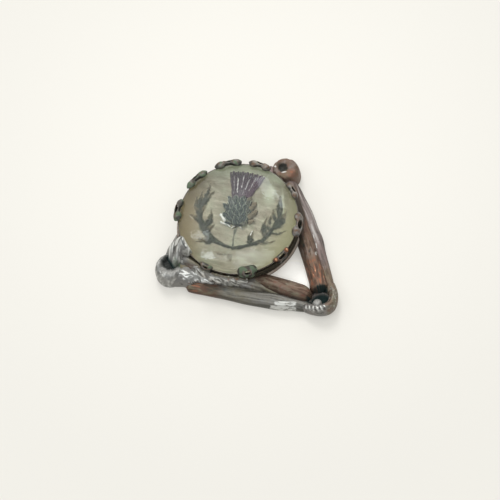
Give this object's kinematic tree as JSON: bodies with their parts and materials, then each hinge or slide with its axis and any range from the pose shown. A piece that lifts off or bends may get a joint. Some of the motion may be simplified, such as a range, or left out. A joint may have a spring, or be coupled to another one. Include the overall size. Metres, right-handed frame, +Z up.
{
  "type": "thistle brooch",
  "caption": "Three-cornered brooch of horn-shaped metal sides, with a tabbed cup off centre that holds a round glass cabochon with a thistle in it.",
  "frame": {"origin": "bottom centre of the brooch's box, on the surface that it lies on", "axes": "+Z up out of the stone, +Y towards the top corner, +X to the right seen from the front"},
  "size_m": [0.038, 0.0322, 0.0098],
  "materials": {
    "worn_silver_plate": "silver plate, tarnished grey brown and worn through to copper on the ridges and tips",
    "copper_gallery": "tarnished copper strip, shiny on the raised lobes, with green verdigris in places",
    "foil_ground": "beige green foil behind the glass",
    "cabochon_glass": "polished clear glass, faintly green",
    "pin_steel": "plain plated steel pin"
  },
  "bodies": {
    "root": {"frame": "worn_silver_plate", "setting": "copper_gallery", "foil": "foil_ground", "stone": "cabochon_glass", "pin": "pin_steel"}
  },
  "joints": []
}
